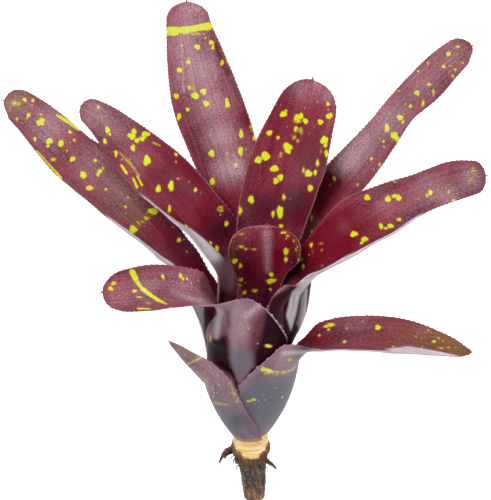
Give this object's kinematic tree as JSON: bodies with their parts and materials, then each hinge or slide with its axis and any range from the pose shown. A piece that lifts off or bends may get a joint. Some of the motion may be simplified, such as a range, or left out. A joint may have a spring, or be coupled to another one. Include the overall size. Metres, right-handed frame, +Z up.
{
  "type": "bromeliad plant",
  "caption": "Young neoregelia bromeliad, lifted and laid on its back, with spotted wine-red strap leaves round a water cup, a scar collar and a cut rooted runner.",
  "frame": {"origin": "on the surface that the plant lies on, under the middle of its outline", "axes": "+Z up from the surface, +Y from the cut end of the runner towards the spread leaves, +X to the right with the cup facing the viewer"},
  "size_m": [0.2258, 0.2354, 0.0963],
  "materials": {
    "leaf": "satin",
    "stem": "matte"
  },
  "bodies": {
    "root": {"stem": "stem", "leaf_back_tall": "leaf", "leaf_back_broad": "leaf", "leaf_left_inner": "leaf", "leaf_left_outer": "leaf", "leaf_right_upper": "leaf", "leaf_right_middle": "leaf", "leaf_front_left": "leaf", "leaf_low_right": "leaf", "leaf_low_left": "leaf", "leaf_heart": "leaf"}
  },
  "joints": []
}
